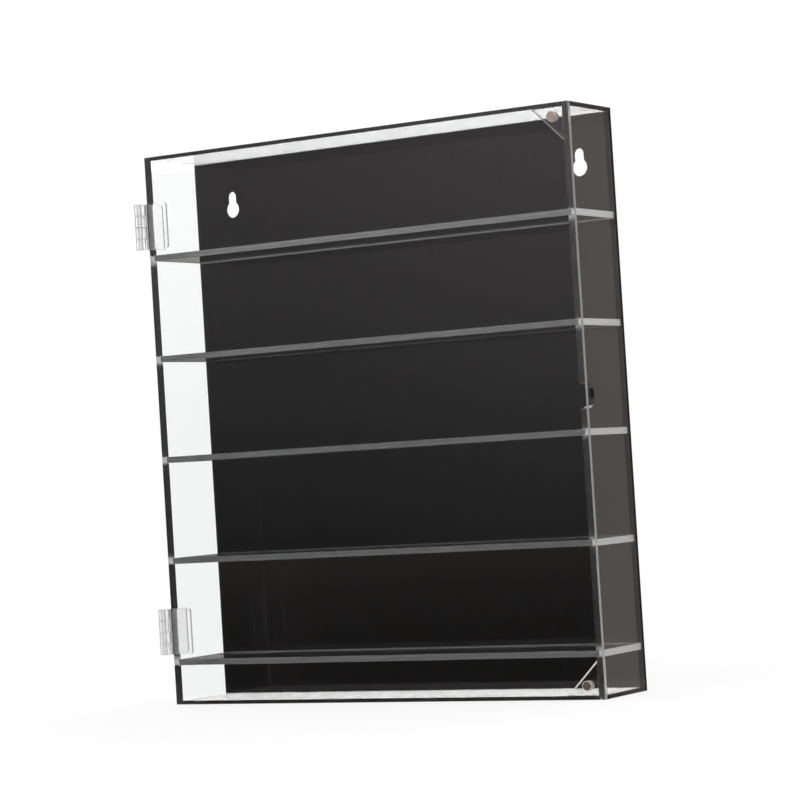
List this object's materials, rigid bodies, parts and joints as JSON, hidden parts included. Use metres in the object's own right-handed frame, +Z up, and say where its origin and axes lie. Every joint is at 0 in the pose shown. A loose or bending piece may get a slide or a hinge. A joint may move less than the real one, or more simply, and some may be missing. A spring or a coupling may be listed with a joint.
{
  "type": "acrylic display cabinet",
  "caption": "Shallow clear acrylic display cabinet: black back with keyholes, shelves housed in grooves, and a full-front door on moulded hinges, held shut by magnets.",
  "frame": {"origin": "middle of the underside of the case, without the door and hinges", "axes": "+Z up, +Y from the door towards the wall, +X towards the door's free edge"},
  "size_m": [0.359, 0.0712, 0.4003],
  "materials": {
    "clear_sheet": "clear cast sheet, polished edges",
    "clear_door": "clear cast sheet, polished edges",
    "clear_shelf": "clear cast sheet, polished front edge",
    "clear_moulding": "clear moulded plastic",
    "clear_pin": "clear plastic rod",
    "black_sheet": "gloss black sheet",
    "nickel": "nickel plated magnet"
  },
  "bodies": {
    "case": {"back_panel": "black_sheet", "top_panel": "clear_sheet", "bottom_panel": "clear_sheet", "left_side_panel": "clear_sheet", "right_side_panel": "clear_sheet", "upper_corner_gusset": "clear_sheet", "lower_corner_gusset": "clear_sheet", "upper_gusset_magnet": "nickel", "lower_gusset_magnet": "nickel", "upper_hinge_case_leaf": "clear_moulding", "lower_hinge_case_leaf": "clear_moulding", "upper_hinge_pin": "clear_pin", "lower_hinge_pin": "clear_pin", "shelf_1": "clear_shelf", "shelf_2": "clear_shelf", "shelf_3": "clear_shelf", "shelf_4": "clear_shelf", "shelf_5": "clear_shelf"},
    "door": {"door": "clear_door", "upper_hinge_door_leaf": "clear_moulding", "lower_hinge_door_leaf": "clear_moulding", "upper_door_magnet": "nickel", "lower_door_magnet": "nickel"}
  },
  "joints": [
    {"name": "door_hinge", "type": "hinge", "parent": "case", "child": "door", "pos_m": [-0.1794, -0.03765, 0.2], "axis": [0, 0, -1], "range_deg": [0, 180]}
  ]
}
